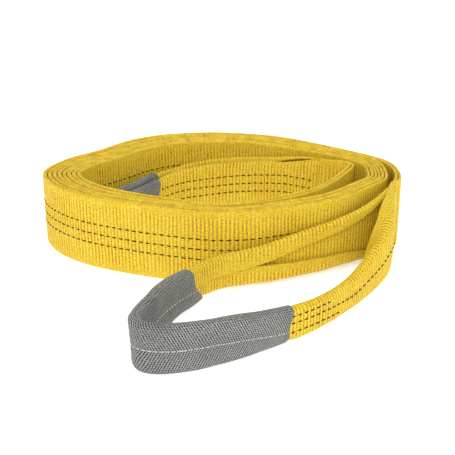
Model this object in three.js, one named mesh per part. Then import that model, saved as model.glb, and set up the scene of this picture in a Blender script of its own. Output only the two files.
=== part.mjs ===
// Flat lifting sling of polyester webbing: two plies sewn together, with a folded and sleeved eye
// at each end. It is wound up for storage as an oval coil that stands on the webbing's edge.
// Millimetres, +Z up. The origin is on the floor, under the middle of the whole plan.

import * as THREE from 'three';

// Webbing
const WEB_WIDTH = 90;
const PLY = 3.8;
const GAP = 0.3; // clearance between neighbouring pieces
const PLY_SPREAD = PLY / 2 + 0.25; // from the sling's middle line to the middle of one ply

// Coil
const TIGHT_PITCH = 8.6; // turn to turn where the turns press on each other
const LOOSE_PITCH = 11.9; // turn to turn on the far side and round the left end
const RIGHT_END_SLACK = 8; // extra room behind the outermost turn at the right end
const STEPS_PER_TURN = 48;
const COILED_TURNS = 3.77; // after this the inner end leaves the coil
// Shares of the way round a turn over which it loosens, tightens again, dips behind the turn outside
// it, and gives up the slack on either side of the right end
const LOOSENS = [0.1, 0.26];
const TIGHTENS = [0.54, 0.74];
const DIPS = [0.8, 1];
const SLACK_FADES = [0.03, 0.12];

// Eyes
const SLEEVE_WALL = 1.2;
const SLEEVE_GAP = 0.4;
const PRESSED = 1.5 * PLY + 0.2; // from the middle of the wall to the far side of a flap pressed on it
const LOOSE = 16; // the same where the near leg's flaps stand open
const PATH_STEP = 14;
const SLEEVE_RAMP = [2, 16]; // the webbing rises to the sleeve's floor this far outside its ends

// Thread
const THREAD_WIDTH = 1.2;
const THREAD_THICKNESS = 0.5;
const ROW_HEIGHTS = { upper: 56, middle: 43.7, lower: 31.4 };
const OUTER_ROWS = { fromTurn: 0.08, toTurn: 0.97 };
const INNER_ROWS = { fromTurn: 3.02, stepsPastCoil: 18 };

// Identity label
const LABEL_LENGTH = 70;
const LABEL_HEIGHT = 60;
const LABEL_THICKNESS = 1.2;
const LABEL_PLACE = 0.15; // share of the way round the coil
const LABEL_BOTTOM = 15;
const LABEL_STANDOFF = 2.3; // from the coil's outer face, clear of the rows of thread
const LABEL_SEAM_INSET = 3;

// Plan of the coil's outer face, from the front eye's root counterclockwise.
const PLAN_MIDDLE = [-6.63, -1.91];
const COIL_OUTLINE = [
  [209, 45], [216.5, 82], [208, 124], [168, 166], [112, 207], [50, 243], [-18, 256],
  [-85, 246], [-135, 216], [-172, 174], [-209, 132], [-229, 81], [-213, 36],
  [-174, -4], [-117, -34], [-62, -54], [-22, -64.5], [20, -64], [72, -47], [134, -22], [176, 8],
];

// Middle line of the inner end: across the hollow, round a tight bend and back to the inner eye's root.
const INNER_END = [
  [26, -27.5], [58, -14], [83, 1], [99, 13], [116, 31], [134, 58], [149, 86], [157, 104],
  [158.5, 113], [154, 120], [145, 123.5], [132, 126], [121, 131],
];

// An eye's path is the middle of its wall, from the far leg's root round the tip to the near leg's
// root. The tables give, by distance along it, the folded height, how far the flaps reach in from
// the wall's middle, the flaps' width and the height of the middle row of thread.
const FRONT_EYE = {
  prefix: 'front_eye',
  path: [
    [198.6, 38], [188, 23], [163, -2], [129, -26], [88, -46], [49, -62], [15, -71], [-10, -81], [-31, -102],
    [-47, -129], [-61, -154], [-71, -178], [-80, -203], [-89, -228], [-91, -242], [-83, -253.5],
    [-66, -257.5], [-26, -250], [7, -234], [50, -206], [90, -174], [118, -143], [146, -107], [170, -70],
    [187, -36], [194, -2], [203, 37],
  ],
  heights: [
    [0, 90], [45, 76], [90, 64], [150, 58], [250, 50], [500, 50], [590, 41], [640, 37], [720, 36],
    [760, 46], [805, 64], [885, 90],
  ],
  depths: [
    [0, 2.4], [60, PRESSED], [545, PRESSED], [615, 9], [690, LOOSE], [795, LOOSE], [855, 6], [885, 2.4],
  ],
  flaps: [[0, 3], [60, 8], [150, 16], [250, 20], [545, 20], [645, 6], [805, 5], [885, 3]],
  middleRow: [[604, 17], [745, 17], [795, 24], [835, 34], [885, 43.7]],
  rowSpacing: 9,
  sleeve: [281, 601],
  rows: { upper: [604, 666], middle: [604, 880], lower: [604, 680] },
};

const INNER_EYE = {
  prefix: 'inner_eye',
  path: [
    [117, 136], [100, 154], [75, 172], [38, 193], [-8, 205], [-48, 200], [-80, 185], [-108, 152],
    [-127, 122], [-144, 99], [-155, 82], [-157, 68], [-150, 58], [-139, 60], [-133, 73],
    [-122, 93], [-107, 116], [-91, 141], [-69, 163], [-40, 174.5], [-8, 177], [32, 169],
    [66, 155], [95, 141], [116, 131],
  ],
  heights: [[0, 90], [75, 75], [150, 67], [250, 61], [470, 61], [530, 64], [582, 68], [640, 76], [718, 90]],
  depths: [[0, 2.4], [60, PRESSED], [665, PRESSED], [718, 2.4]],
  flaps: [[0, 3], [60, 7], [150, 13], [250, 15], [530, 13], [640, 7], [718, 3]],
  middleRow: [[480, 27], [560, 26.5], [650, 36], [718, 43.7]],
  rowSpacing: 11.4,
  sleeve: [215, 478],
  rows: { upper: [482, 712], middle: [482, 712], lower: [482, 712] },
};

const yellow = () => new THREE.MeshStandardMaterial({ color: 0xe8c22c, roughness: 0.75, metalness: 0 });
const grey = () => new THREE.MeshStandardMaterial({ color: 0x838c92, roughness: 0.85, metalness: 0 });
const black = () => new THREE.MeshStandardMaterial({ color: 0x1c1a16, roughness: 0.7, metalness: 0 });
const cream = () => new THREE.MeshStandardMaterial({ color: 0xe9e4d2, roughness: 0.8, metalness: 0 });
const blue = () => new THREE.MeshStandardMaterial({ color: 0x2f5f9e, roughness: 0.6, metalness: 0 });

const group = new THREE.Group();
group.position.set(-PLAN_MIDDLE[0], -PLAN_MIDDLE[1], 0);

function addPiece(name, geometry, material) {
  const mesh = new THREE.Mesh(geometry, material);
  mesh.name = name;
  group.add(mesh);
}

const smoothStep = ([low, high], value) => THREE.MathUtils.smoothstep(value, low, high);

// Value at a distance, from a short list of [distance, value] pairs.
function valueAt(pairs, distance) {
  const next = pairs.findIndex(([place]) => place > distance);
  if (next === -1) return pairs[pairs.length - 1][1];
  if (next === 0) return pairs[0][1];
  const [startPlace, startValue] = pairs[next - 1];
  const [endPlace, endValue] = pairs[next];
  const share = smoothStep([startPlace, endPlace], distance);
  return THREE.MathUtils.lerp(startValue, endValue, share);
}

const planCurve = (points, closed) =>
  new THREE.CatmullRomCurve3(points.map(([x, y]) => new THREE.Vector3(x, y, 0)), closed, 'centripetal');

// Points along a curve, with a finer step where its given points are close together.
function pathPoints(curve, firstSpan = 0) {
  const spans = curve.points.length - 1;
  const found = [];
  for (let span = firstSpan; span < spans; span++) {
    const length = curve.points[span].distanceTo(curve.points[span + 1]);
    const parts = Math.max(2, Math.ceil(length / PATH_STEP));
    for (let part = 0; part < parts; part++) found.push(curve.getPoint((span + part / parts) / spans));
  }
  found.push(curve.getPoint(1));
  return found;
}

// Adds to each point of an open route its left-hand normal and its distance from the start.
function stationsAlong(points) {
  let distance = 0;
  return points.map((point, index) => {
    const before = points[Math.max(index - 1, 0)];
    const after = points[Math.min(index + 1, points.length - 1)];
    if (index > 0) distance += point.distanceTo(before);
    const along = after.clone().sub(before).normalize();
    return { point, distance, normal: new THREE.Vector3(-along.y, along.x, 0) };
  });
}

// A station's profile point: sideways along its normal, then up.
const placed = (station, [side, up]) =>
  station.point.clone().addScaledVector(station.normal, side).setZ(up);

function closedGeometry(vertices, triangles) {
  const geometry = new THREE.BufferGeometry();
  const coordinates = vertices.flatMap((vertex) => vertex.toArray());
  geometry.setAttribute('position', new THREE.Float32BufferAttribute(coordinates, 3));
  geometry.setIndex(triangles.flat());
  return geometry;
}

// Joins neighbouring rings of equal size with a wall. It faces out where facing is 1 and the rings
// run counterclockwise, with the left-hand normal to the right and up upwards.
function wallBetween(rings, ringSize, firstVertex, facing) {
  const triangles = [];
  for (let ring = 0; ring < rings - 1; ring++) {
    for (let corner = 0; corner < ringSize; corner++) {
      const next = (corner + 1) % ringSize;
      const a = firstVertex + ring * ringSize + corner;
      const b = firstVertex + ring * ringSize + next;
      const c = a + ringSize;
      const d = b + ringSize;
      triangles.push(...(facing > 0 ? [[a, b, d], [a, d, c]] : [[a, d, b], [a, c, d]]));
    }
  }
  return triangles;
}

// Solid bar: a closed profile carried along the stations, with flat ends.
function solidAlong(stations, profileAt) {
  const profiles = stations.map(profileAt);
  const size = profiles[0].length;
  const vertices = stations.flatMap((station, index) =>
    profiles[index].map((corner) => placed(station, corner)),
  );
  const flat = profiles[0].map(([side, up]) => new THREE.Vector2(side, up));
  const facing = THREE.ShapeUtils.isClockWise(flat) ? -1 : 1;
  const endFaces = THREE.ShapeUtils.triangulateShape(flat, []);
  const last = (stations.length - 1) * size;
  const triangles = wallBetween(stations.length, size, 0, facing);
  for (const [a, b, c] of endFaces) {
    const area = flat[b].clone().sub(flat[a]).cross(flat[c].clone().sub(flat[a]));
    const [second, third] = area > 0 ? [b, c] : [c, b];
    triangles.push([a, third, second], [last + a, last + second, last + third]);
  }
  return closedGeometry(vertices, triangles);
}

// Open-ended tube: an outer and an inner profile of equal size carried along the stations.
function tubeAlong(stations, outerAt, innerAt) {
  const rings = stations.length;
  const outer = stations.flatMap((station) => outerAt(station).map((corner) => placed(station, corner)));
  const inner = stations.flatMap((station) => innerAt(station).map((corner) => placed(station, corner)));
  const size = outer.length / rings;
  const triangles = [
    ...wallBetween(rings, size, 0, 1),
    ...wallBetween(rings, size, outer.length, -1),
  ];
  for (let corner = 0; corner < size; corner++) {
    const next = (corner + 1) % size;
    const last = (rings - 1) * size;
    const quad = (shift) =>
      [corner, next, outer.length + corner, outer.length + next].map((index) => index + shift);
    const [a, b, c, d] = quad(0);
    const [e, f, g, h] = quad(last);
    triangles.push([a, c, b], [b, c, d], [e, f, g], [f, h, g]);
  }
  return closedGeometry([...outer, ...inner], triangles);
}

const rectangle = (low, high, bottom, top) => [[low, bottom], [high, bottom], [high, top], [low, top]];

// ---- Coiled body ----

const outline = planCurve(COIL_OUTLINE, true);
outline.arcLengthDivisions = 1200;

function turnPitch(share) {
  const loose = smoothStep(LOOSENS, share) * (1 - smoothStep(TIGHTENS, share));
  return THREE.MathUtils.lerp(TIGHT_PITCH, LOOSE_PITCH, loose);
}

// How far the sling's middle line lies inside the coil's outline. The outermost turn follows the
// outline until, near the end of that turn, it dips one pitch to pass behind the front eye's root.
function depthInside(turns) {
  const share = turns % 1;
  const dip = smoothStep(DIPS, share);
  const fromRightEnd = Math.min(share, 1 - share);
  const slack = turns < 0.5 ? 0 : RIGHT_END_SLACK * (1 - smoothStep(SLACK_FADES, fromRightEnd));
  return PLY + GAP / 2 + turnPitch(share) * (Math.floor(turns) + dip) + slack;
}

function coilPoint(turns) {
  const share = turns % 1;
  const along = outline.getTangentAt(share);
  const inward = new THREE.Vector3(-along.y, along.x, 0);
  return outline.getPointAt(share).addScaledVector(inward, depthInside(turns));
}

function bodyPoints() {
  const step = 1 / STEPS_PER_TURN;
  const coiled = [];
  for (let turns = 0; turns < COILED_TURNS; turns += step) coiled.push(coilPoint(turns));
  const leadIn = coiled.slice(-3).map((point) => [point.x, point.y]);
  const innerEnd = planCurve([...leadIn, ...INNER_END], false);
  return [...coiled, ...pathPoints(innerEnd, 2).slice(1)];
}

const bodyStations = stationsAlong(bodyPoints());
const coiledStations = Math.ceil(COILED_TURNS * STEPS_PER_TURN);

// Half the distance between the two plies' middles: loose turns share their room evenly.
function plySpread(index) {
  if (index >= coiledStations) return PLY_SPREAD;
  const share = (index / STEPS_PER_TURN) % 1;
  return Math.max(PLY_SPREAD, turnPitch(share) / 4);
}

bodyStations.forEach((station, index) => {
  station.spread = plySpread(index);
});

function addBodyPly(name, side) {
  const profile = (station) => {
    const middle = side * station.spread;
    return rectangle(middle - PLY / 2, middle + PLY / 2, 0, WEB_WIDTH);
  };
  addPiece(name, solidAlong(bodyStations, profile), yellow());
}

// Row of thread on a face: faceOffset is the face's place along the normal, outward is its direction.
function threadProfile(face, outward, height) {
  const near = face + outward * GAP;
  const far = near + outward * THREAD_THICKNESS;
  const bottom = height - THREAD_WIDTH / 2;
  return rectangle(Math.min(near, far), Math.max(near, far), bottom, bottom + THREAD_WIDTH);
}

function addBodyRows(place, stations, outward) {
  for (const [row, height] of Object.entries(ROW_HEIGHTS)) {
    const profile = (station) => threadProfile(outward * (station.spread + PLY / 2), outward, height);
    addPiece(`body_${place}_row_${row}`, solidAlong(stations, profile), black());
  }
}

addBodyPly('body_outer_ply', -1);
addBodyPly('body_inner_ply', 1);
const atTurn = (turn) => Math.round(turn * STEPS_PER_TURN);
const outermostTurn = bodyStations.slice(atTurn(OUTER_ROWS.fromTurn), atTurn(OUTER_ROWS.toTurn));
const innermostEnd = coiledStations + INNER_ROWS.stepsPastCoil;
const innermostTurn = bodyStations.slice(atTurn(INNER_ROWS.fromTurn), innermostEnd);
addBodyRows('outer', outermostTurn, -1);
addBodyRows('inner', innermostTurn, 1);

// ---- Folded eyes ----

// The sleeve goes under the webbing too, so the webbing rises by its wall inside it.
function lift(eye, distance) {
  const [start, end] = eye.sleeve;
  const [near, far] = SLEEVE_RAMP;
  const risen = smoothStep([start - far, start - near], distance);
  const inside = risen * (1 - smoothStep([end + near, end + far], distance));
  return (SLEEVE_WALL + SLEEVE_GAP) * inside;
}

// The webbing stands as a C: its wall outside, and its top and bottom edges folded in as flaps.
function foldedProfile(eye, { distance }) {
  const bottom = lift(eye, distance);
  const top = valueAt(eye.heights, distance) - bottom;
  const depth = valueAt(eye.depths, distance);
  const flap = valueAt(eye.flaps, distance);
  const wall = PLY / 2;
  return [
    [-wall, bottom], [depth, bottom], [depth, bottom + flap], [wall, bottom + flap],
    [wall, top - flap], [depth, top - flap], [depth, top], [-wall, top],
  ];
}

function sleeveProfile(eye, { distance }, grow) {
  const reach = SLEEVE_GAP + grow;
  const bottom = SLEEVE_WALL - grow;
  const top = valueAt(eye.heights, distance) - bottom;
  return rectangle(-PLY / 2 - reach, valueAt(eye.depths, distance) + reach, bottom, top);
}

const between = (stations, [start, end]) =>
  stations.filter(({ distance }) => distance >= start && distance <= end);

function addEye(eye) {
  const stations = stationsAlong(pathPoints(planCurve(eye.path, false)));
  const sleeved = between(stations, eye.sleeve);
  addPiece(`${eye.prefix}_webbing`, solidAlong(stations, (station) => foldedProfile(eye, station)), yellow());
  const sleeve = tubeAlong(
    sleeved,
    (station) => sleeveProfile(eye, station, SLEEVE_WALL),
    (station) => sleeveProfile(eye, station, 0),
  );
  addPiece(`${eye.prefix}_sleeve`, sleeve, grey());
  addSleeveSeams(eye, sleeved.slice(1, -1));
  addEyeRows(eye, stations);
}

function addSleeveSeams(eye, stations) {
  const proud = SLEEVE_GAP + SLEEVE_WALL;
  const height = ({ distance }) => valueAt(eye.heights, distance) / 2;
  const outer = (station) => threadProfile(-PLY / 2 - proud, -1, height(station));
  const inner = (station) => threadProfile(valueAt(eye.depths, station.distance) + proud, 1, height(station));
  addPiece(`${eye.prefix}_sleeve_seam_outer`, solidAlong(stations, outer), cream());
  addPiece(`${eye.prefix}_sleeve_seam_inner`, solidAlong(stations, inner), cream());
}

function addEyeRows(eye, stations) {
  const rises = { upper: eye.rowSpacing, middle: 0, lower: -eye.rowSpacing };
  for (const [row, reach] of Object.entries(eye.rows)) {
    const profile = ({ distance }) =>
      threadProfile(-PLY / 2, -1, valueAt(eye.middleRow, distance) + rises[row]);
    addPiece(`${eye.prefix}_row_${row}`, solidAlong(between(stations, reach), profile), black());
  }
}

addEye(FRONT_EYE);
addEye(INNER_EYE);

// ---- Identity label, sewn to the far side by one upright edge ----

function addLabel() {
  const along = outline.getTangentAt(LABEL_PLACE);
  const inward = new THREE.Vector3(-along.y, along.x, 0);
  const edge = outline.getPointAt(LABEL_PLACE).addScaledVector(inward, -LABEL_STANDOFF);
  const turn = new THREE.Matrix4().makeBasis(along, inward, new THREE.Vector3(0, 0, 1));
  const plate = (length, thickness, height, offset, bottom) => {
    const box = new THREE.BoxGeometry(length, thickness, height);
    box.translate(length / 2, -offset - thickness / 2, bottom + height / 2);
    return box.applyMatrix4(turn).translate(edge.x, edge.y, 0);
  };
  addPiece('identity_label', plate(LABEL_LENGTH, LABEL_THICKNESS, LABEL_HEIGHT, 0, LABEL_BOTTOM), blue());
  const seamHeight = LABEL_HEIGHT - 2 * LABEL_SEAM_INSET;
  const seamBottom = LABEL_BOTTOM + LABEL_SEAM_INSET;
  const stitch = plate(THREAD_WIDTH, THREAD_THICKNESS, seamHeight, LABEL_THICKNESS + GAP, seamBottom);
  addPiece('identity_label_seam', stitch, black());
}

addLabel();

export default group;
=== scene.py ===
"""Looks of a flat lifting sling, wound up for storage: ribbed yellow webbing, grey sleeves, thread.

Everything is in metres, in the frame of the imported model, which this script builds around.
"""

import math

import bmesh
import bpy
import numpy as np
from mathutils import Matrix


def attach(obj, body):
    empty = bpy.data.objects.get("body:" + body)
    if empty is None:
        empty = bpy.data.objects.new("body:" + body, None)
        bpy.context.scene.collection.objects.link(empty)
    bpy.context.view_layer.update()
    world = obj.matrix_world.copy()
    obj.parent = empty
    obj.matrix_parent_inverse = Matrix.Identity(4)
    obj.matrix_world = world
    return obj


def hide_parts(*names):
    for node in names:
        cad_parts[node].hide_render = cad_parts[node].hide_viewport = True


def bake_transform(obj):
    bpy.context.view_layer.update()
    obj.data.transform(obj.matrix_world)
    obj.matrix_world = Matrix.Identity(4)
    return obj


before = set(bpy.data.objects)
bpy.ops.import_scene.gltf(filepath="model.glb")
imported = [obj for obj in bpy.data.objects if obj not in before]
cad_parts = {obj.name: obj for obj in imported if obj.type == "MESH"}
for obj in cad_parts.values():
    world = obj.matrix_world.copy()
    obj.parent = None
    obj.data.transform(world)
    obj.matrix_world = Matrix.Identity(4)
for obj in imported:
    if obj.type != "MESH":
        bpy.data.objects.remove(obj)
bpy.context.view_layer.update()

MM = 0.001

# Driving dimensions of the CAD model, in metres
WEB_WIDTH = 90 * MM
PLY = 3.8 * MM
GAP = 0.3 * MM
PLY_SPREAD = PLY / 2 + 0.25 * MM
TIGHT_PITCH = 8.6 * MM
LOOSE_PITCH = 11.9 * MM
RIGHT_END_SLACK = 8 * MM
STEPS_PER_TURN = 48
COILED_TURNS = 3.77  # after these the inner end leaves the coil
SLEEVE_WALL = 1.2 * MM
SLEEVE_GAP = 0.4 * MM
PLAN_SHIFT = np.array([6.63, 1.91]) * MM
ROW_HEIGHTS = {"upper": 56 * MM, "middle": 43.7 * MM, "lower": 31.4 * MM}

# Webbing as it is woven
RIB_PITCH = 4.6 * MM
RIB_HEIGHT = 0.34 * MM
SELVEDGE = 8.5 * MM  # band along each edge without ribs
EDGE_ROUNDING = 1.7 * MM
YARN_PITCH = 1.5 * MM
FINE_STEP = 0.8 * MM
COARSE_STEP = 4 * MM
WEB_EDGE_PLACES = [0, 0.12, 0.4, 0.85, 1.7, 3.4, 5.5]  # first mesh lines in from an edge, in mm
WEB_MIDDLE_LINES = 33

# How the turns lie: their edges are uneven, and loose turns are fluffed up into the room they have
TOP_DROP = 2.8 * MM
BOTTOM_LIFT = 1.1 * MM
FLUFF = 0.85

# Sleeve as it is woven
TWILL_PITCH = 2.7 * MM
SLEEVE_RIB_PITCH = 3.1 * MM
SLEEVE_CROSS_PITCH = 2.4 * MM
SLEEVE_RINGS = 150
SLEEVE_SIDES = 120

# Stitches
STITCH_PITCH = 8.6 * MM
STITCH_LENGTH = 5.9 * MM
THREAD_RADIUS = 0.58 * MM
SEAM_RADIUS = 0.5 * MM
STITCH_RINGS = 6
STITCH_SIDES = 6
SEAM_PITCH = 5.4 * MM
SEAM_STITCH = 4.2 * MM

# Identity label, sewn to the coil's far side
LABEL_LENGTH = 70 * MM
LABEL_HEIGHT = 60 * MM
LABEL_THICKNESS = 1.2 * MM
LABEL_PLACE = 0.15  # share of the coil's outer face
LABEL_BOTTOM = 15 * MM
LABEL_STANDOFF = 2.3 * MM
LABEL_STITCH_PITCH = 4.4 * MM
LABEL_STITCH = 3.2 * MM

# Plan of the coil's outer face, from the front eye's root counterclockwise, in millimetres
COIL_OUTLINE = [
    [209, 45], [216.5, 82], [208, 124], [168, 166], [112, 207], [50, 243], [-18, 256],
    [-85, 246], [-135, 216], [-172, 174], [-209, 132], [-229, 81], [-213, 36],
    [-174, -4], [-117, -34], [-62, -54], [-22, -64.5], [20, -64], [72, -47], [134, -22], [176, 8],
]

# Middle line of the inner end, from the coil to the inner eye's root
INNER_END = [
    [26, -27.5], [58, -14], [83, 1], [99, 13], [116, 31], [134, 58], [149, 86], [157, 104],
    [158.5, 113], [154, 120], [145, 123.5], [132, 126], [121, 131],
]

# An eye's path is the middle of its wall, from the far leg's root round the tip to the near leg's
# root. The tables go by distance along it in millimetres. They give the height of the folded webbing,
# how far it is off the floor, the angle that each edge is folded through, the webbing that each fold
# takes, the wall's bulge in radians, how far its foot is pushed in, and the height of the middle row
# of thread. A table holds its first and last values beyond its ends.
FRONT_EYE = {
    "path": [
        [198.6, 38], [188, 23], [163, -2], [129, -26], [88, -46], [49, -62], [15, -71], [-10, -81],
        [-31, -102], [-47, -129], [-61, -154], [-71, -178], [-80, -203], [-89, -228], [-91, -242],
        [-83, -253.5], [-66, -257.5], [-26, -250], [7, -234], [50, -206], [90, -174], [118, -143],
        [146, -107], [170, -70], [187, -36], [194, -2], [203, 37],
    ],
    "heights": [[0, 90], [25, 80], [49, 71], [74, 64], [100, 60], [149, 54.5], [173, 50.5], [197, 46.5],
                [220, 43.5], [245, 41.5], [293, 43.5], [328, 47], [348, 51], [372, 55], [408, 55], [440, 53],
                [470, 51], [524, 49.5], [547, 47.5], [570, 43.5], [595, 39.5], [613, 37.5], [641, 36],
                [683, 34.5], [712, 37], [738, 44], [765, 53], [796, 64], [829, 75], [860, 86], [885, 90]],
    "rises": [[0, 0], [30, 4.5], [66, 8], [96, 8.5], [123, 7.3], [200, 4.5], [300, 4.5], [328, 6],
              [360, 2.5], [390, 0]],
    "top_angles": [[0, 60], [14, 150], [36, 172], [70, 177], [740, 177], [775, 140], [800, 112],
                   [830, 96], [862, 80], [885, 0]],
    "bottom_angles": [[0, 60], [14, 150], [36, 172], [70, 178], [740, 178], [790, 165], [820, 110],
                      [850, 50], [885, 0]],
    "top_folds": [[0, 7], [150, 7], [200, 12], [330, 12], [365, 7], [550, 7], [600, 12.5], [740, 12.5],
                  [790, 9], [885, 8]],
    "bottom_folds": [[0, 7]],
    "bulges": [[0, 0.02], [590, 0.03], [640, 0.34], [760, 0.4], [820, 0.2], [885, 0.03]],
    "toes": [[0, 0], [400, 0], [428, 4], [448, -3], [475, -3], [515, 0]],
    "middle_row": [[604, 21], [650, 20.5], [690, 17.5], [714, 18], [745, 25], [772, 29], [795, 35],
                   [835, 42], [885, 43.7]],
    "row_rises": {"upper": 7.5, "middle": 0, "lower": -10},
    "sleeve": [281, 601],
    "rows": {"upper": [606, 666], "middle": [606, 880], "lower": [606, 680]},
}
INNER_EYE_ANGLES = [
    [0, 60], [16, 130], [60, 160], [150, 170], [215, 177], [640, 177], [680, 170], [702, 140], [715, 60],
]
INNER_EYE = {
    "path": [
        [117, 136], [100, 154], [75, 172], [38, 193], [-8, 205], [-48, 200], [-80, 185], [-108, 152],
        [-127, 122], [-144, 99], [-155, 82], [-157, 68], [-150, 58], [-139, 60], [-133, 73],
        [-122, 93], [-107, 116], [-91, 141], [-69, 163], [-40, 174.5], [-8, 177], [32, 169],
        [66, 155], [95, 141], [116, 131],
    ],
    "heights": [[0, 90], [75, 76], [150, 67], [215, 59], [380, 59], [430, 56], [480, 56], [530, 62],
                [582, 68], [640, 76], [715, 90]],
    "top_angles": INNER_EYE_ANGLES,
    "bottom_angles": INNER_EYE_ANGLES,
    "top_folds": [[0, 7]],
    "bottom_folds": [[0, 7]],
    "bulges": [[0, 0.03], [60, 0.1], [180, 0.08], [215, 0.02], [480, 0.02], [530, 0.08], [660, 0.08],
               [715, 0.03]],
    "rises": [[0, 0]],
    "toes": [[0, 0]],
    "middle_row": [[480, 30], [560, 34.5], [620, 43], [665, 49], [700, 48], [715, 46]],
    "row_rises": {"upper": 11.4, "middle": 0, "lower": -11.4},
    "sleeve": [215, 478],
    "rows": {"upper": [486, 708], "middle": [486, 708], "lower": [486, 708]},
}

# Camera, light and floor
CAMERA_TARGET = (*PLAN_SHIFT, WEB_WIDTH / 2)
CAMERA_DISTANCE = 1.1
CAMERA_TILT = math.radians(22)
CAMERA_LENS = 73.2
KEY_PLACE = (0.0, -2.5, 2.1)
KEY_TARGET_HEIGHT = 0.04
KEY_SIZE = 1.5
KEY_POWER = 39
KEY_COLOUR = (0.96, 1.0, 1.0)
ROOM_COLOUR = (1.0, 0.94, 0.84, 1.0)
ROOM_STRENGTH = 1.05
FLOOR_SIZE = 20.0
FLOOR_HEIGHT = -0.2 * MM


# ---- Curves and noise ----

CURVE_SAMPLES = 60  # points of a curve between two given points


def ease(share):
    share = np.clip(share, 0, 1)
    return share * share * (3 - 2 * share)


def smooth_step(low, high, value):
    return ease((np.asarray(value, float) - low) / (high - low))


def value_at(pairs, distance, span=10):
    """Value at a distance, from [distance, value] pairs in millimetres, with the corners smoothed."""
    places, values = np.array(pairs, float).T
    distance = np.asarray(distance, float) / MM
    shifts = np.linspace(-span, span, 9)
    return np.mean([np.interp(distance + shift, places, values) for shift in shifts], axis=0)


RANDOM_TABLE = np.random.default_rng(11).random(4096)


def noise(x, y=0.0, channel=0):
    """Smooth noise from -1 to 1, with one lattice cell for each unit of x and y."""
    x, y = np.broadcast_arrays(np.asarray(x, float), np.asarray(y, float))
    column, row = np.floor(x).astype(int), np.floor(y).astype(int)

    def corner(right, up):
        cell = (column + right) * 57 + (row + up) * 131 + channel * 977
        return RANDOM_TABLE[cell % RANDOM_TABLE.size]

    across, rise = ease(x - column), ease(y - row)
    low = corner(0, 0) + (corner(1, 0) - corner(0, 0)) * across
    high = corner(0, 1) + (corner(1, 1) - corner(0, 1)) * across
    return 2 * (low + (high - low) * rise) - 1


def smooth_curve(points, closed=False):
    """Points along a centripetal Catmull-Rom curve through the given points."""
    points = np.array(points, float)
    if closed:
        ring = np.vstack([points[-1], points, points[:2]])
    else:
        ring = np.vstack([2 * points[0] - points[1], points, 2 * points[-1] - points[-2]])
    t = np.linspace(0, 1, CURVE_SAMPLES, endpoint=False)[:, None]
    found = []
    for before, start, end, after in zip(ring, ring[1:], ring[2:], ring[3:]):
        first, middle, last = (
            math.sqrt(np.linalg.norm(b - a)) for a, b in ((before, start), (start, end), (end, after))
        )
        out = (start - before) / first - (end - before) / (first + middle) + (end - start) / middle
        into = (end - start) / middle - (after - start) / (middle + last) + (after - end) / last
        out, into = out * middle, into * middle
        found.append(
            start + out * t + (3 * (end - start) - 2 * out - into) * t ** 2
            + (2 * (start - end) + out + into) * t ** 3
        )
    return np.vstack([*found, points[:1] if closed else points[-1:]])


class Line:
    """A smooth line in plan that gives the point and the left-hand normal at any distance."""

    def __init__(self, points, step=0.5 * MM, softness=6):
        lengths = np.linalg.norm(np.diff(points, axis=0), axis=1)
        keep = np.concatenate([[True], lengths > 1e-9])
        points = points[keep]
        places = np.concatenate([[0], np.cumsum(np.linalg.norm(np.diff(points, axis=0), axis=1))])
        self.length = places[-1]
        self.places = np.linspace(0, self.length, int(self.length / step) + 1)
        self.points = np.column_stack([np.interp(self.places, places, points[:, k]) for k in (0, 1)])
        along = np.gradient(self.points, axis=0)
        kernel = np.ones(2 * softness + 1) / (2 * softness + 1)
        padded = np.pad(along, ((softness, softness), (0, 0)), mode="edge")
        along = np.column_stack([np.convolve(padded[:, k], kernel, mode="valid") for k in (0, 1)])
        along /= np.linalg.norm(along, axis=1)[:, None]
        self.normals = np.column_stack([-along[:, 1], along[:, 0]])

    def at(self, distance):
        flat = np.ravel(distance)
        point = np.column_stack([np.interp(flat, self.places, self.points[:, k]) for k in (0, 1)])
        normal = np.column_stack([np.interp(flat, self.places, self.normals[:, k]) for k in (0, 1)])
        shape = (*np.shape(distance), 2)
        return point.reshape(shape), normal.reshape(shape)

    def place(self, distance, side, up):
        """Points in the frame: sideways along the left-hand normal, then up."""
        distance, side, up = np.broadcast_arrays(distance, side, up)
        point, normal = self.at(distance)
        plan = point + normal * side[..., None]
        return np.concatenate([plan, up[..., None]], axis=-1)


# ---- Coil ----

def in_frame(points):
    return np.array(points, float) * MM + PLAN_SHIFT


outline = Line(smooth_curve(in_frame(COIL_OUTLINE), closed=True), softness=2)


def turn_pitch(share):
    """Distance from turn to turn at a share of a turn: the turns are loose at the left end."""
    loose = smooth_step(0.1, 0.26, share) * (1 - smooth_step(0.54, 0.74, share))
    return TIGHT_PITCH + (LOOSE_PITCH - TIGHT_PITCH) * loose


def coil_point(turns):
    """Plan of the two-ply body's middle after some turns. It dips under the next turn near the end
    of each one, and all but the outer turn keep off the right end."""
    share = turns % 1
    dip = smooth_step(0.8, 1, share)
    from_right_end = np.minimum(share, 1 - share)
    slack = np.where(turns < 0.5, 0, RIGHT_END_SLACK * (1 - smooth_step(0.03, 0.12, from_right_end)))
    depth = PLY + GAP / 2 + turn_pitch(share) * (np.floor(turns) + dip) + slack
    point, normal = outline.at(share * outline.length)
    return point + normal * depth[:, None]


def coil_turns(last):
    return coil_point(np.linspace(0, last, int(last * 900) + 1))


def length_of(points):
    return np.linalg.norm(np.diff(points, axis=0), axis=1).sum()


coiled = coil_turns(COILED_TURNS)
coiled_length = length_of(coiled)
lead_in = coil_point(COILED_TURNS - np.array([2, 1, 0]) / STEPS_PER_TURN)
inner_end = smooth_curve(np.vstack([lead_in, in_frame(INNER_END)]))[2 * CURVE_SAMPLES:]
body_line = Line(np.vstack([coiled, inner_end[1:]]))
turn_ends = [length_of(coil_turns(turns)) for turns in (1, 2, 3)]
FIRST_TURN, SECOND_TURN, THIRD_TURN = turn_ends


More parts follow.
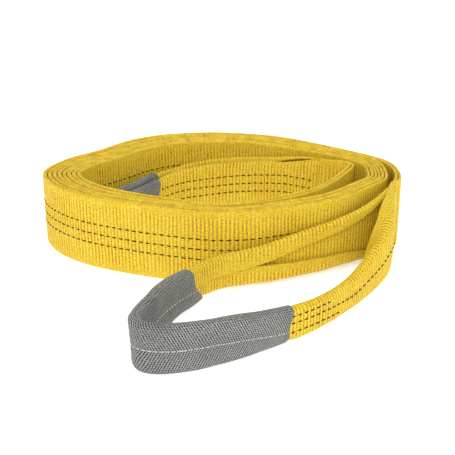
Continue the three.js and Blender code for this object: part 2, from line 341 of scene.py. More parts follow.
def spread_at(distance):
    """Half the distance between the two plies' middles: loose turns share their room evenly."""
    turns = np.interp(distance, [0, *turn_ends, coiled_length], [0, 1, 2, 3, COILED_TURNS])
    loose = np.maximum(PLY_SPREAD, turn_pitch(turns % 1) / 4)
    leaving = smooth_step(coiled_length - 20 * MM, coiled_length + 20 * MM, distance)
    return loose + (PLY_SPREAD - loose) * leaving


# ---- Mesh building ----

def new_object(name, vertices, faces, material, attributes=None):
    mesh = bpy.data.meshes.new(name)
    mesh.from_pydata(np.asarray(vertices).tolist(), [], faces)
    mesh.update()
    for label, values in (attributes or {}).items():
        values = np.asarray(values, np.float32)
        kind = "FLOAT_VECTOR" if values.ndim == 2 else "FLOAT"
        layer = mesh.attributes.new(label, kind, "POINT")
        layer.data.foreach_set("vector" if values.ndim == 2 else "value", values.ravel())
    mesh.polygons.foreach_set("use_smooth", [True] * len(mesh.polygons))
    mesh.materials.append(material)
    made = bpy.data.objects.new(name, mesh)
    bpy.context.scene.collection.objects.link(made)
    return made


def grid_faces(rows, size, start=0, flip=False):
    """Quads between neighbouring rings of a closed loop."""
    row, corner = np.meshgrid(np.arange(rows - 1), np.arange(size), indexing="ij")
    following = (corner + 1) % size
    a, b = start + row * size + corner, start + row * size + following
    quads = np.stack([a, b, b + size, a + size], axis=-1).reshape(-1, 4)
    return quads[:, ::-1].tolist() if flip else quads.tolist()


def edged_places(length, edge_places, middle_lines):
    """Places from 0 to length, with the same few places in millimetres in from either end."""
    edge = np.array(edge_places) * MM
    middle = np.linspace(edge[-1], length - edge[-1], middle_lines)
    return np.concatenate([edge[:-1], middle, (length - edge[:-1])[::-1]])


def rib_shape(distance, across, channel):
    """Height of the weave's ribs as a share of the greatest, and 1 inside the selvedges, 0 on them."""
    wander = noise(distance / (38 * MM), across / (30 * MM), channel) * 1.1 * MM
    wander = wander + noise(distance / (11 * MM), across / (16 * MM), channel + 1) * 0.5 * MM
    phase = (distance + wander) / RIB_PITCH
    wave = np.cos(2 * math.pi * phase)
    fullness = 0.72 + 0.28 * noise(np.round(phase) * 1.7, across / (14 * MM), channel + 2)
    from_edge = WEB_WIDTH / 2 - np.abs(across)
    inside = smooth_step(SELVEDGE - 2.5 * MM, SELVEDGE + 2.5 * MM, from_edge)
    return wave * fullness, inside


def web_piece(name, line, stations, section, channel, ribbed=(1, 1), shift=0.0, swell=None):
    """Webbing along a line. section(distance, across) gives its middle surface's side and height.

    ribbed gives the share of rib height on the outer and the inner face, shift is added to the
    distance that the weave goes by, and swell gives extra half thickness at each distance.
    """
    across = edged_places(WEB_WIDTH, WEB_EDGE_PLACES, WEB_MIDDLE_LINES) - WEB_WIDTH / 2
    distance, place = np.meshgrid(stations, across, indexing="ij")
    side, up = section(distance, place)
    side_step, up_step = np.gradient(side, axis=1), np.gradient(up, axis=1)
    length = np.hypot(side_step, up_step)
    out_side, out_up = -up_step / length, side_step / length
    from_edge = WEB_WIDTH / 2 - np.abs(place)
    inward = np.clip(1 - from_edge / EDGE_ROUNDING, 0, 1)
    extra = swell(distance) if swell else 0
    half = (PLY / 2 - 0.1 * MM + extra) * np.sqrt(np.clip(1 - inward ** 2, 0, 1))
    ribs, inside = rib_shape(distance + shift, place, channel)
    fine = noise((distance + shift) / (1.9 * MM), place / (1.5 * MM), channel + 5)
    body = smooth_step(0, 2 * MM, from_edge)
    relief = (ribs * (0.25 + 0.75 * inside) * RIB_HEIGHT + fine * 0.07 * MM) * body
    faces = []
    for direction, share in ((1, ribbed[0]), (-1, ribbed[1])):
        thickness = direction * (half + relief * share)
        faces.append(line.place(distance, side + out_side * thickness, up + out_up * thickness))
    # The rib attribute carries the ribs' height, which the webbing material also uses to paint shade between
    # the ribs.
    cloth = np.stack([distance + shift, place, half], axis=-1)
    return closed_strip(name, faces[0], faces[1], webbing, {"cloth": cloth, "rib": ribs})


def closed_strip(name, front, back, material, attributes):
    """A cloth with two faces that meet along its sides, and flat ends. front and back are grids of
    points, and so are the attributes, which go round to the back too."""
    def round_loop(first, second):
        return np.concatenate([first, second[:, -2:0:-1]], axis=1)

    vertices = round_loop(front, back)
    rows, size = vertices.shape[:2]
    count = front.shape[1]
    looped = {}
    for label, values in attributes.items():
        ring = round_loop(values, values)
        looped[label] = ring.reshape(-1, 3) if ring.ndim == 3 else ring.reshape(-1)
    quads = grid_faces(rows, size, flip=True)
    quads += end_cap(0, count, size) + [cap[::-1] for cap in end_cap((rows - 1) * size, count, size)]
    return new_object(name, vertices.reshape(-1, 3), quads, material, looped)


def end_cap(first, count, size):
    """Faces that close one end of a web whose loop has count places outside and the rest inside."""
    outer = [first + k for k in range(count)]
    inner = [first, *[first + size - k for k in range(1, count - 1)], first + count - 1]
    faces = [[outer[0], outer[1], inner[1]]]
    for k in range(1, count - 2):
        faces.append([outer[k], outer[k + 1], inner[k + 1], inner[k]])
    faces.append([outer[count - 2], outer[count - 1], inner[count - 2]])
    return faces


def stations_between(parts):
    """Distances from (start, end, step) stretches, each joined to the next."""
    found = []
    for start, end, step in parts:
        found.append(np.linspace(start, end, max(2, int((end - start) / step)), endpoint=False))
    return np.concatenate([*found, [parts[-1][1]]])


def stitch_shape():
    """Shares along a stitch, with its thickness and its arch there as shares of the greatest."""
    share = np.linspace(0, 1, STITCH_RINGS)
    return share, np.sqrt(np.clip(1 - (2 * share - 1) ** 4, 0.12, 1)), 4 * share * (1 - share)


def stitch_tube(middle, radius, outward, sideways):
    """Rings of points round a stitch's middle line."""
    spin = np.linspace(0, 2 * math.pi, STITCH_SIDES, endpoint=False)[None, :, None]
    around = np.cos(spin) * outward + np.sin(spin) * sideways
    return middle[:, None] + radius[:, None, None] * around


def thread_object(name, tubes, material):
    """All the stitches of a row as one mesh."""
    vertices, faces = [], []
    for tube in tubes:
        first = len(vertices)
        last = first + (STITCH_RINGS - 1) * STITCH_SIDES
        vertices.extend(tube.reshape(-1, 3).tolist())
        faces += grid_faces(STITCH_RINGS, STITCH_SIDES, first)
        faces.append([first + k for k in range(STITCH_SIDES)][::-1])
        faces.append([last + k for k in range(STITCH_SIDES)])
    made = new_object(name, np.array(vertices), faces, material)
    recalculate_normals(made)
    return made


def stitches(name, places, surface, material, radius, length):
    """A row of stitches. surface(distance, lift) gives points and outward normals on the cloth."""
    share, thickness, arch = stitch_shape()
    tubes = []
    for number, place in enumerate(places):
        stretch = length * (0.88 + 0.24 * RANDOM_TABLE[(number * 37) % RANDOM_TABLE.size])
        distance = place + (share - 0.5) * stretch
        point, normal = surface(distance, radius * (0.75 * arch - 0.35))
        sway = 0.3 * MM * (RANDOM_TABLE[(number * 91 + 5) % RANDOM_TABLE.size] - 0.5)
        middle = point + np.array([0, 0, sway])
        tubes.append(stitch_tube(middle, radius * thickness, normal[:, None], np.array([0, 0, 1])))
    return thread_object(name, tubes, material)


def recalculate_normals(made):
    work = bmesh.new()
    work.from_mesh(made.data)
    bmesh.ops.recalc_face_normals(work, faces=work.faces)
    work.to_mesh(made.data)
    work.free()


# ---- Materials ----

class Graph:
    """Short calls for the nodes of one material."""

    def __init__(self, name):
        self.material = bpy.data.materials.new(name)
        self.material.use_nodes = True
        self.tree = self.material.node_tree
        self.shader = self.tree.nodes["Principled BSDF"]

    def node(self, kind, inputs=(), **settings):
        made = self.tree.nodes.new(kind)
        for key, value in settings.items():
            setattr(made, key, value)
        for key, value in dict(inputs).items():
            self.put(made.inputs[key], value)
        return made

    def put(self, socket, value):
        if isinstance(value, bpy.types.NodeSocket):
            self.tree.links.new(value, socket)
        else:
            socket.default_value = value

    def math(self, operation, first, second=0.0):
        return self.node("ShaderNodeMath", {0: first, 1: second}, operation=operation).outputs[0]

    def wave(self, value, pitch):
        return self.math("SINE", self.math("MULTIPLY", value, 2 * math.pi / pitch))

    def attribute(self, name):
        return self.node("ShaderNodeAttribute", attribute_name=name)

    def split(self, vector):
        return self.node("ShaderNodeSeparateXYZ", {0: vector}).outputs

    def join(self, x, y, z):
        return self.node("ShaderNodeCombineXYZ", {0: x, 1: y, 2: z}).outputs[0]

    def noise(self, vector, scale, detail=2.0, roughness=0.5):
        inputs = {"Vector": vector, "Scale": scale, "Detail": detail, "Roughness": roughness}
        return self.node("ShaderNodeTexNoise", inputs).outputs[0]

    def remap(self, value, low, high, to_low=0.0, to_high=1.0):
        inputs = {"Value": value, "From Min": low, "From Max": high, "To Min": to_low, "To Max": to_high}
        return self.node("ShaderNodeMapRange", inputs, clamp=True).outputs[0]

    def mix(self, share, first, second):
        return self.node("ShaderNodeMix", {0: share, 6: first, 7: second}, data_type="RGBA").outputs[2]

    def bump(self, height, strength, distance):
        inputs = {"Height": height, "Strength": strength, "Distance": distance}
        return self.node("ShaderNodeBump", inputs).outputs[0]

    def finish(self, colour, normal=None, **constants):
        self.put(self.shader.inputs["Base Color"], colour)
        if normal is not None:
            self.put(self.shader.inputs["Normal"], normal)
        for key, value in constants.items():
            self.shader.inputs[key.replace("_", " ")].default_value = value
        return self.material


def srgb(red, green, blue):
    """Linear colour from 8-bit sRGB values."""
    def linear(value):
        value /= 255
        return value / 12.92 if value <= 0.04045 else ((value + 0.055) / 1.055) ** 2.4

    return (linear(red), linear(green), linear(blue), 1.0)


def webbing_material():
    """Yellow polyester: ribs across, warp yarns along, a grainy selvedge, with painted shade between the
    ribs.
    """
    g = Graph("yellow_webbing")
    cloth = g.attribute("cloth").outputs["Vector"]
    rib = g.attribute("rib").outputs["Fac"]
    along, across, _ = g.split(cloth)
    from_edge = g.math("SUBTRACT", WEB_WIDTH / 2, g.math("ABSOLUTE", across))
    ribbed = g.remap(from_edge, SELVEDGE - 2 * MM, SELVEDGE + 2 * MM, 0.25, 1.0)
    # Painted shade: the rib height darkens the valleys between the ribs and lightens the crests, and the
    # selvedges get a flat middle tone.
    valley_shade_mix = g.math("MULTIPLY", g.remap(rib, -0.75, 0.35), ribbed)
    valley_shade_mix = g.math("ADD", valley_shade_mix, g.math("MULTIPLY", g.math("SUBTRACT", 1.0, ribbed), 0.7))
    patches = g.noise(cloth, 22.0, 3.0, 0.55)
    grain = g.noise(cloth, 620.0, 2.0, 0.6)
    streaks = g.noise(g.join(g.math("MULTIPLY", along, 0.3), across, 0.0), 640.0, 2.0, 0.6)
    yarns = g.wave(across, YARN_PITCH)
    twill = g.wave(g.math("ADD", along, g.math("MULTIPLY", across, 1.6)), 2.3 * MM)
    # Painted shade colours: a darker orange in the valleys between the ribs, a lighter yellow on the crests.
    colour = g.mix(valley_shade_mix, srgb(160, 102, 1), srgb(214, 185, 22))
    colour = g.mix(g.remap(patches, 0.35, 0.7, 0.0, 0.35), colour, srgb(216, 197, 56))
    colour = g.mix(g.remap(grain, 0.46, 0.66, 0.0, 0.5), colour, srgb(240, 227, 108))
    colour = g.mix(g.remap(streaks, 0.5, 0.7, 0.0, 0.45), colour, srgb(146, 96, 3))
    threads = g.math("ADD", g.math("MULTIPLY", yarns, 0.3), g.math("MULTIPLY", twill, 0.25))
    surface = g.math("ADD", threads, g.math("MULTIPLY", grain, 1.2))
    normal = g.bump(surface, 0.55, 0.25 * MM)
    return g.finish(colour, normal, Roughness=0.65, Specular_IOR_Level=0.2)


def sleeve_material():
    """Grey woven sleeve with a fine twill that turns at the seam."""
    g = Graph("grey_sleeve")
    cloth = g.attribute("cloth").outputs["Vector"]
    along, across, _ = g.split(cloth)
    away = g.math("ABSOLUTE", across)
    wobble = g.math("MULTIPLY", g.noise(cloth, 70.0, 2.0), 3 * MM)
    diagonal = g.math("ADD", g.math("ADD", along, g.math("MULTIPLY", away, 0.5)), wobble)
    twill = g.wave(diagonal, TWILL_PITCH)
    cross = g.wave(across, SLEEVE_CROSS_PITCH)
    grain = g.noise(cloth, 620.0, 2.0, 0.6)
    patches = g.noise(cloth, 26.0, 2.0)
    weave = g.math("ADD", g.math("MULTIPLY", twill, 0.75), g.math("MULTIPLY", cross, 0.4))
    colour = g.mix(g.remap(weave, -0.55, 0.55), srgb(14, 17, 20), srgb(142, 146, 146))
    colour = g.mix(g.remap(grain, 0.53, 0.68, 0.0, 0.45), colour, srgb(200, 202, 198))
    colour = g.mix(g.remap(patches, 0.4, 0.7, 0.0, 0.35), colour, srgb(58, 65, 72))
    normal = g.bump(g.math("ADD", weave, grain), 0.6, 0.3 * MM)
    return g.finish(colour, normal, Roughness=0.8, Specular_IOR_Level=0.25, Sheen_Weight=0.1)


def thread_material(name, light, dark):
    """Twisted thread, lighter and darker about every millimetre."""
    g = Graph(name)
    place = g.node("ShaderNodeTexCoord").outputs["Object"]
    strands = g.noise(place, 1 / (0.9 * MM), 1.0)
    colour = g.mix(g.remap(strands, 0.35, 0.65), dark, light)
    return g.finish(colour, g.bump(strands, 0.5, 0.2 * MM), Roughness=0.75, Specular_IOR_Level=0.1)


def label_material():
    """Coated blue label cloth."""
    g = Graph("blue_label")
    place = g.node("ShaderNodeTexCoord").outputs["Object"]
    weave = g.noise(place, 900.0, 2.0)
    patches = g.noise(place, 40.0, 3.0)
    colour = g.mix(g.remap(patches, 0.3, 0.7), srgb(38, 84, 150), srgb(58, 108, 176))
    return g.finish(colour, g.bump(weave, 0.3, 0.15 * MM), Roughness=0.45, Specular_IOR_Level=0.4)


def floor_material():
    g = Graph("pale_floor")
    g.shader.inputs["Emission Color"].default_value = (1.0, 1.0, 1.0, 1.0)
    return g.finish(srgb(250, 250, 250), Roughness=0.9, Specular_IOR_Level=0.1, Emission_Strength=0.5)


webbing = webbing_material()
grey_cloth = sleeve_material()
blue_cloth = label_material()
black_thread = thread_material("black_thread", srgb(18, 14, 10), srgb(6, 5, 4))
cream_thread = thread_material("cream_thread", srgb(214, 211, 198), srgb(166, 162, 148))


# ---- Body ----

def ply_section(side, channel):
    """Upright webbing. Its edges rise and fall a little, as turns pushed together by hand do."""
    def section(distance, across):
        lift = (noise(distance / (70 * MM), 0.0, channel) * 0.5 + 0.5) * BOTTOM_LIFT
        drop = (noise(distance / (75 * MM), 3.3, channel) * 0.5 + 0.5) * TOP_DROP
        height = WEB_WIDTH - lift - drop
        up = lift + (across / WEB_WIDTH + 0.5) * height
        return side * spread_at(distance) + 0 * across, up

    return section


def loose_swell(distance):
    """Extra half thickness of the webbing where the turns are loose."""
    return (spread_at(distance) - PLY_SPREAD) * FLUFF


def add_body_ply(name, side, stretches, channel, ribbed):
    stations = stations_between(stretches)
    section = ply_section(side, channel)
    made = web_piece(name, body_line, stations, section, channel, ribbed, swell=loose_swell)
    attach(made, "coil")
    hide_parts(name)


def ply_face(side, height):
    """A surface for stitches(): the face of the body's outer (-1) or inner (1) ply at a height."""
    def surface(distance, lift):
        reach = side * (spread_at(distance) + loose_swell(distance) + PLY / 2 + 0.2 * MM + lift)
        point = body_line.place(distance, reach, np.full_like(distance, height))
        _, left = body_line.at(distance)
        normal = np.column_stack([left * side, np.zeros(len(left))])
        return point, normal

    return surface


# ---- Eyes ----

def fold_line(extent, angle, half_width):
    """How far from the web's middle its edge folds, for a half of the web to rise as far as extent."""
    half = WEB_WIDTH / 2
    angle = np.maximum(angle, 0.05)
    open_fold = extent + half_width - 2 * half_width * np.sin(angle) / angle
    open_fold = (open_fold - (half - half_width) * np.cos(angle)) / (1 - np.cos(angle))
    shut_fold = extent + half_width - 2 * half_width / angle
    return np.clip(np.where(angle < math.pi / 2, open_fold, shut_fold), 8 * MM, half + half_width)


def half_web(extent, angle, half_width, bulge, samples=91):
    """Side and height of one half of folded webbing, from its middle out to the selvedge."""
    across = np.linspace(0, WEB_WIDTH / 2, samples)
    fold = fold_line(extent, angle, half_width)[:, None]
    turned = np.clip((across - fold + half_width[:, None]) / (2 * half_width[:, None]), 0, 1)
    heading = angle[:, None] * turned + bulge[:, None] * across / (WEB_WIDTH / 2) * (1 - turned)
    step = across[1]
    middle = (heading[:, 1:] + heading[:, :-1]) / 2
    start = np.zeros((len(heading), 1))
    side = np.hstack([start, np.cumsum(np.sin(middle) * step, axis=1)])
    up = np.hstack([start, np.cumsum(np.cos(middle) * step, axis=1)])
    return side, up


class Eye:
    """The folded webbing of one eye: its line, and its section at any distance."""

    def __init__(self, facts, roots):
        self.facts = facts
        self.line = Line(smooth_curve(np.vstack([roots[0], in_frame(facts["path"]), roots[1]])))
        self.lead = np.linalg.norm(in_frame(facts["path"][:1])[0] - roots[0])

    def table(self, name, distance):
        return value_at(self.facts[name], distance - self.lead)

    def height(self, distance):
        return self.table("heights", distance) * MM

    def rise(self, distance):
        return self.table("rises", distance) * MM

    def toe(self, distance, up):
        """How far a point of the wall is pushed inward, by its height above the wall's foot."""
        return self.table("toes", distance) * MM * np.clip(1 - up / self.height(distance), 0, 1)

    def inside_sleeve(self, distance):
        start, end = (self.lead + place * MM for place in self.facts["sleeve"])
        into = smooth_step(start - 16 * MM, start - 2 * MM, distance)
        return into * (1 - smooth_step(end + 2 * MM, end + 16 * MM, distance))

    def halves(self, distance):
        """The lower and the upper half of the web at each distance. They part at the middle row of
        thread, or at half of the height where there is no row."""
        height = self.height(distance)
        inside = self.inside_sleeve(distance)
        height = height - 2 * (SLEEVE_WALL + SLEEVE_GAP) * inside
        middle = self.table("middle_row", distance) * MM + 1.3 * MM
        past_row_start = distance - self.lead - self.facts["middle_row"][0][0] * MM
        share = np.where(past_row_start < 0, 0.5, middle / height)
        blend = smooth_step(-50 * MM, 20 * MM, past_row_start)
        share = 0.5 + (share - 0.5) * blend
        bulge = self.table("bulges", distance)
        found = []
        for edge, part in (("bottom", share), ("top", 1 - share)):
            angle = np.radians(self.table(f"{edge}_angles", distance))
            half_width = self.table(f"{edge}_folds", distance) * MM / 2
            folded = smooth_step(0, math.pi / 2, angle)
            found.append(half_web(part * height - PLY / 2 * folded, angle, half_width, bulge))
        return found

    def section(self, distance, across):
        """For web_piece: distance and across are grids with one row for each station."""
        places = distance[:, 0]
        (low_side, low_up), (high_side, high_up) = self.halves(places)
        samples = np.linspace(0, WEB_WIDTH / 2, low_side.shape[1])
        folded = smooth_step(0, math.pi / 2, np.radians(self.table("bottom_angles", places)))
        base = low_up.max(axis=1) + PLY / 2 * folded
        base = base + (SLEEVE_WALL + SLEEVE_GAP) * self.inside_sleeve(places) + self.rise(places)
        sag = self.table("bulges", places) * (self.height(places) / 2) ** 2 / WEB_WIDTH
        side, up = np.empty_like(across), np.empty_like(across)
        for row, place in enumerate(across):
            high = place >= 0
            side[row] = np.where(high, np.interp(place, samples, high_side[row]),
                                 np.interp(-place, samples, low_side[row]))
            up[row] = base[row] + np.where(high, np.interp(place, samples, high_up[row]),
                                           -np.interp(-place, samples, low_up[row]))
        return side - sag[:, None] + self.toe(distance, up), up

    def row_surface(self, row):
        """A surface for stitches(): the outer face of the wall, along a row of thread."""
        across = np.linspace(-38 * MM, 38 * MM, 77)

        def surface(distance, lift):
            grid_distance, grid_across = np.meshgrid(distance, across, indexing="ij")
            side, up = self.section(grid_distance, grid_across)
            side_step, up_step = np.gradient(side, axis=1), np.gradient(up, axis=1)
            length = np.hypot(side_step, up_step)
            out_side, out_up = -up_step / length, side_step / length
            found = []
            heights = (self.table("middle_row", distance) + self.facts["row_rises"][row]) * MM
            for station, wanted in enumerate(heights):
                wall = slice(up[station].argmin(), up[station].argmax() + 1)
                found.append([
                    np.interp(wanted, up[station][wall], values[station][wall])
                    for values in (side, up, out_side, out_up)
                ])
            side, up, out_side, out_up = np.array(found).T
            reach = PLY / 2 + 0.2 * MM + lift
            point = self.line.place(distance, side + out_side * reach, up + out_up * reach)
            _, left = self.line.at(distance)
            normal = np.column_stack([left * out_side[:, None], out_up])
            return point, normal

        return surface


def eye_root(distance, side):
    """Plan of the middle of the outer (-1) or inner (1) ply, where an eye's webbing starts."""
    return body_line.place(distance, side * spread_at(distance), 0.0)[:2]


def add_eye_webbing(name, eye, channel):
    """The eye's folded webbing."""
    length = eye.line.length
    stations = stations_between([(0, length, FINE_STEP)])
    made = web_piece(name, eye.line, stations, eye.section, channel, shift=-length)
    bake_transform(made)
    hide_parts(name)


# ---- Sleeves ----

class Sleeve:
    """A flat woven tube round the folded web, drawn in along a seam. seam_shares gives the seam's height
    as a share of the eye's, and ends has what cut_end takes for the far and the near end."""

    def __init__(self, eye, seam_shares, ends, channel):
        self.eye = eye
        self.seam_shares = seam_shares
        self.ends = ends
        self.channel = channel

    def seam_height(self, distance):
        return self.eye.height(distance) * value_at(self.seam_shares, distance - self.eye.lead)

    def section(self, distance, turn):
        """Side and height of the tube's middle surface. turn runs from 0 at the seam on the outer
        face, over the top to 0.5 at the seam on the inner face, and under the bottom to 1."""
        height = self.eye.height(distance)
        fold = np.maximum(self.eye.table("top_folds", distance), self.eye.table("bottom_folds", distance))
        low_side = -PLY / 2 - 0.9 * MM
        high_side = fold * MM * 2 / math.pi + PLY / 2 + 1.5 * MM
        radius = (high_side - low_side) / 2
        middle = (high_side + low_side) / 2
        seam = self.seam_height(distance)
        top, bottom = height - SLEEVE_WALL / 2, SLEEVE_WALL / 2
        over = turn < 0.5
        share = np.where(over, turn, 1 - turn) * 2
        straight = np.where(over, top - radius - seam, seam - bottom - radius)
        straight = np.maximum(straight, 1 * MM)
        total = 2 * straight + math.pi * radius
        run = share * total
        spin = np.clip((run - straight) / radius, 0, math.pi)
        rise = np.minimum(run, straight) - np.maximum(run - straight - math.pi * radius, 0)
        side = middle - radius * np.cos(spin)
        climb = rise + radius * np.sin(spin)
        up = np.where(over, seam + climb, seam - climb)
        drawn = np.exp(-(((up - seam) / (4.5 * MM)) ** 2))
        inner_face = smooth_step(0.3, 0.5, np.minimum(turn, 1 - turn))
        side = side + drawn * (0.5 * MM * (1 - inner_face) - 1.2 * MM * inner_face)
        crease = noise(distance / (17 * MM), np.minimum(turn, 1 - turn) * 9, self.channel)
        side = side + np.sign(side - middle) * (crease + 0.6) * 0.45 * MM
        return side + self.eye.toe(distance, up), up + self.eye.rise(distance)

    def place(self, distance, turn, lift):
        """Points at a height over the middle surface, and the outward normals there."""
        step = 1e-3
        side, up = self.section(distance, turn % 1)
        ahead_side, ahead_up = self.section(distance, (turn + step) % 1)
        back_side, back_up = self.section(distance, (turn - step) % 1)
        along_side, along_up = ahead_side - back_side, ahead_up - back_up
        length = np.hypot(along_side, along_up)
        out_side, out_up = -along_up / length, along_side / length
        point = self.eye.line.place(distance, side + out_side * lift, up + out_up * lift)
        _, left = self.eye.line.at(distance)
        normal = np.concatenate([left * out_side[..., None], out_up[..., None]], axis=-1)
        return point, normal

    def seam_surface(self, turn):
        """A surface for stitches(): the outer face of the tube along one turn."""
        def surface(distance, lift):
            return self.place(distance, np.full_like(distance, turn), lift + SLEEVE_WALL / 2)

        return surface


def cut_end(turn, offset, base, slant):
    """How far a sleeve's wavy cut end lies past its nominal place, all the way round."""
    wave = 0.5 + 0.5 * np.cos(2 * math.pi * (3 * turn + offset))
    return (base + 3 * wave + slant * np.sin(2 * math.pi * turn)) * MM


def add_sleeve(name, sleeve, body):
    start, stop = (sleeve.eye.lead + place * MM for place in sleeve.eye.facts["sleeve"])
    turn = np.arange(SLEEVE_SIDES) / SLEEVE_SIDES
    far_end, near_end = sleeve.ends
    first = start + cut_end(turn, *far_end)
    last = stop + cut_end(turn, *near_end)
    share = np.linspace(0, 1, SLEEVE_RINGS)[:, None]
    distance = first + (last - first) * share
    turns = np.broadcast_to(turn, distance.shape)
    ribs = np.sin(2 * math.pi * distance / SLEEVE_RIB_PITCH) * 0.08 * MM
    outer, _ = sleeve.place(distance, turns, SLEEVE_WALL / 2 + ribs)
    inner, _ = sleeve.place(distance, turns, np.full_like(distance, -SLEEVE_WALL / 2))
    around = np.minimum(turns, 1 - turns) * 120 * MM
    cloth = np.stack([distance, around, np.zeros_like(distance)], axis=-1)
    count = SLEEVE_RINGS * SLEEVE_SIDES
    vertices = np.concatenate([outer.reshape(-1, 3), inner.reshape(-1, 3)])
    faces = grid_faces(SLEEVE_RINGS, SLEEVE_SIDES)
    faces += grid_faces(SLEEVE_RINGS, SLEEVE_SIDES, count, flip=True)
    for ring, turned in ((0, False), (SLEEVE_RINGS - 1, True)):
        for corner in range(SLEEVE_SIDES):
            a = ring * SLEEVE_SIDES + corner
            b = ring * SLEEVE_SIDES + (corner + 1) % SLEEVE_SIDES
            quad = [a, count + a, count + b, b]
            faces.append(quad[::-1] if turned else quad)
    attributes = {"cloth": np.concatenate([cloth.reshape(-1, 3)] * 2)}
    made = new_object(name, vertices, faces, grey_cloth, attributes)
    recalculate_normals(made)
    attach(made, body)
    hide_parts(name)
    ring = outer[SLEEVE_RINGS // 2]


def add_row(name, body, slot, places, surface, length=STITCH_LENGTH, radius=THREAD_RADIUS):
    """A row of stitches as a piece of its own. slot names the thread's material slot in the record."""
    thread = {"marker_thread": black_thread, "seam_thread": cream_thread}[slot]
    made = stitches(name, places, surface, thread, radius, length)
    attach(made, body)
    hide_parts(name)


# ---- Label ----

def label_frame():
    """Plan of the label's sewn edge, and the directions along the coil and away from it."""
    edge, inward = outline.at(np.array([outline.length * LABEL_PLACE]))
    inward = inward[0] / np.linalg.norm(inward[0])
    return edge[0] - inward * LABEL_STANDOFF, np.array([inward[1], -inward[0]]), -inward


def add_label():
    """A blank label cloth. It is sewn down along one upright edge and stands a little off the coil."""
    edge, along, outward = label_frame()
    lengthwise = edged_places(LABEL_LENGTH, [0, 0.2, 0.6, 1.2], 46)
    upward = edged_places(LABEL_HEIGHT, [0, 0.1, 0.4, 0.9, 1.6], 40)
    run, rise = np.meshgrid(lengthwise, upward, indexing="ij")
    from_edge = np.minimum(rise, LABEL_HEIGHT - rise)
    inward = np.clip(1 - from_edge / (0.9 * MM), 0, 1)
    half = LABEL_THICKNESS / 2 * np.sqrt(np.clip(1 - inward ** 2, 0, 1))
    free = smooth_step(3 * MM, LABEL_LENGTH, run)
    wave = noise(run / (24 * MM), rise / (40 * MM), 80) * 0.8 * MM * free
    middle = LABEL_THICKNESS / 2 + wave + 1.2 * MM * free
    plan = edge + run[..., None] * along

    def face(direction):
        flat = plan + (middle + direction * half)[..., None] * outward
        return np.concatenate([flat, (LABEL_BOTTOM + rise)[..., None]], axis=-1)

    cloth = np.stack([run, rise, half], axis=-1)
    made = closed_strip("identity_label", face(1), face(-1), blue_cloth, {"cloth": cloth})
    recalculate_normals(made)
    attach(made, "label")
    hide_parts("identity_label")


def add_label_seam():
    """Upright row of stitches along the label's sewn edge."""
    edge, along, outward = label_frame()
    start = np.array([*(edge + along * 1.4 * MM + outward * (LABEL_THICKNESS + 0.1 * MM)), 0])
    out, sideways, upward = np.array([*outward, 0]), np.array([*along, 0]), np.array([0, 0, 1])
    share, thickness, arch = stitch_shape()
    bow = 0.75 * THREAD_RADIUS * arch
    top = LABEL_BOTTOM + LABEL_HEIGHT - 6 * MM
    tubes = []
    for height in np.arange(LABEL_BOTTOM + 4 * MM, top, LABEL_STITCH_PITCH):
        middle = start + bow[:, None] * out + (height + share * LABEL_STITCH)[:, None] * upward
        tubes.append(stitch_tube(middle, THREAD_RADIUS * thickness, out, sideways))
    made = thread_object("identity_label_seam", tubes, black_thread)
    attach(made, "label")
    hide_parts("identity_label_seam")


# ---- Setting ----

def add_camera():
    data = bpy.data.cameras.new("camera")
    data.lens = CAMERA_LENS
    data.sensor_width = 36
    camera = bpy.data.objects.new("camera", data)
    back = CAMERA_DISTANCE * math.cos(CAMERA_TILT)
    rise = CAMERA_DISTANCE * math.sin(CAMERA_TILT)
    x, y, z = CAMERA_TARGET
    camera.location = (x, y - back, z + rise)
    camera.rotation_euler = (math.pi / 2 - CAMERA_TILT, 0, 0)
    bpy.context.scene.collection.objects.link(camera)
    bpy.context.scene.camera = camera


def add_key_light():
    data = bpy.data.lights.new("key", "AREA")
    data.shape = "DISK"
    data.size = KEY_SIZE
    data.energy = KEY_POWER
    data.color = KEY_COLOUR
    light = bpy.data.objects.new("key", data)
    light.location = KEY_PLACE
    tilt = math.atan2(-KEY_PLACE[1], KEY_PLACE[2] - KEY_TARGET_HEIGHT)
    light.rotation_euler = (tilt, 0, 0)
    bpy.context.scene.collection.objects.link(light)


def add_floor():
    signs = [(-1, -1), (1, -1), (1, 1), (-1, 1)]
    corners = [(x * FLOOR_SIZE, y * FLOOR_SIZE, FLOOR_HEIGHT) for x, y in signs]
    floor = new_object("floor", corners, [[0, 1, 2, 3]], floor_material())


def add_world():
    world = bpy.data.worlds.new("studio")
    world.use_nodes = True
    background = world.node_tree.nodes["Background"]
    background.inputs["Color"].default_value = ROOM_COLOUR
    background.inputs["Strength"].default_value = ROOM_STRENGTH
    bpy.context.scene.world = world


bpy.context.scene.view_settings.view_transform = "Standard"
add_camera()
add_world()
add_floor()
add_key_light()


# ---- Assembly ----

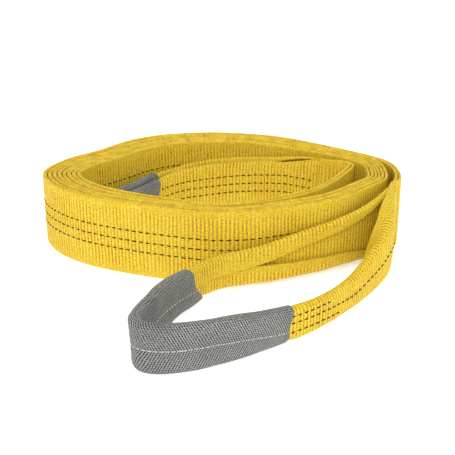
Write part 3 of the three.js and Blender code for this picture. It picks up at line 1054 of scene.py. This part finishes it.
# The body's mesh is fine where its ribs show: outside on the first turn, inside on the last, and on
# the inner end.
end = body_line.length
outside_done, inner_end_start = FIRST_TURN + 20 * MM, coiled_length - 40 * MM
inside_start = SECOND_TURN + 0.7 * (THIRD_TURN - SECOND_TURN)
add_body_ply(
    "body_outer_ply", -1,
    [(0, outside_done, FINE_STEP), (outside_done, inner_end_start, COARSE_STEP),
     (inner_end_start, end, FINE_STEP)],
    20, (1, 0.3),
)
add_body_ply(
    "body_inner_ply", 1, [(0, inside_start, COARSE_STEP), (inside_start, end, FINE_STEP)], 30, (0.3, 1),
)

front_eye = Eye(FRONT_EYE, (eye_root(0.0, 1), eye_root(0.0, -1)))
inner_eye = Eye(INNER_EYE, (eye_root(end, -1), eye_root(end, 1)))
add_eye_webbing("front_eye_webbing", front_eye, 40)
add_eye_webbing("inner_eye_webbing", inner_eye, 50)

front_sleeve = Sleeve(
    front_eye, [[281, 0.40], [400, 0.42], [450, 0.5], [520, 0.48], [560, 0.42], [601, 0.33]],
    [(0.6, 13, 11), (0.3, 0, 5)], 60,
)
inner_sleeve = Sleeve(inner_eye, [[215, 0.45]], [(0.6, 35, 2), (0.3, 0, 2)], 70)
add_sleeve("front_eye_sleeve", front_sleeve, "front_eye")
add_sleeve("inner_eye_sleeve", inner_sleeve, "inner_eye")

for body, eye, sleeve in (("front_eye", front_eye, front_sleeve), ("inner_eye", inner_eye, inner_sleeve)):
    start, stop = (eye.lead + place * MM for place in eye.facts["sleeve"])
    places = np.arange(start + 6 * MM, stop - 3 * MM, SEAM_PITCH)
    for face, turn in (("outer", 0.0), ("inner", 0.5)):
        name = f"{body}_sleeve_seam_{face}"
        add_row(name, body, "seam_thread", places, sleeve.seam_surface(turn), SEAM_STITCH, SEAM_RADIUS)
    for row, (begin, finish) in eye.facts["rows"].items():
        places = np.arange(eye.lead + begin * MM + 2 * MM, eye.lead + finish * MM, STITCH_PITCH)
        add_row(f"{body}_row_{row}", body, "marker_thread", places, eye.row_surface(row))

outer_places = np.arange(0.08 * FIRST_TURN, 0.97 * FIRST_TURN, STITCH_PITCH)
inner_rows_start = THIRD_TURN + 0.02 * (THIRD_TURN - SECOND_TURN)
inner_places = np.arange(inner_rows_start, coiled_length + 190 * MM, STITCH_PITCH)
for row, height in ROW_HEIGHTS.items():
    add_row(f"body_outer_row_{row}", "coil", "marker_thread", outer_places, ply_face(-1, height))
    add_row(f"body_inner_row_{row}", "coil", "marker_thread", inner_places, ply_face(1, height))

add_label()
add_label_seam()
